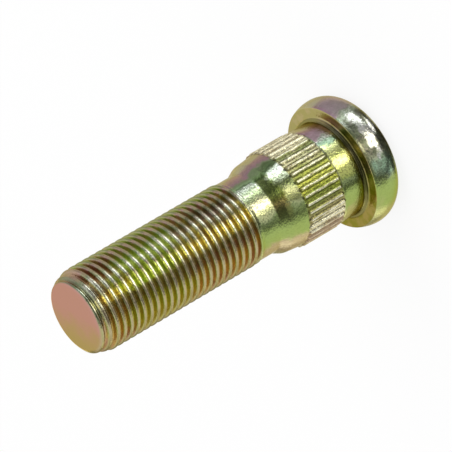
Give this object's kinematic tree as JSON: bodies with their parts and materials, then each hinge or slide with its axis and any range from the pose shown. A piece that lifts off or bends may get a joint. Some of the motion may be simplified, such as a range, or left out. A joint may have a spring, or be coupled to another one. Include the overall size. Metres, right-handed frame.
{
  "type": "wheel bolt",
  "caption": "Press-in wheel bolt: round head, ribbed seat that presses into a wheel hub, plain neck and a fine threaded shank that takes the wheel nut. Yellow-zinc plated steel.",
  "frame": {"origin": "middle of the head's flat end face, on which the bolt stands", "axes": "+Z along the bolt's axis, from the head to the tip of the thread; +X runs through the crest of a rib"},
  "size_m": [0.0251, 0.025, 0.0661],
  "materials": {
    "plated_steel": "yellow zinc plating, glossy, with gold, green and pink tints"
  },
  "bodies": {
    "root": {"wheel_bolt": "plated_steel"}
  },
  "joints": []
}
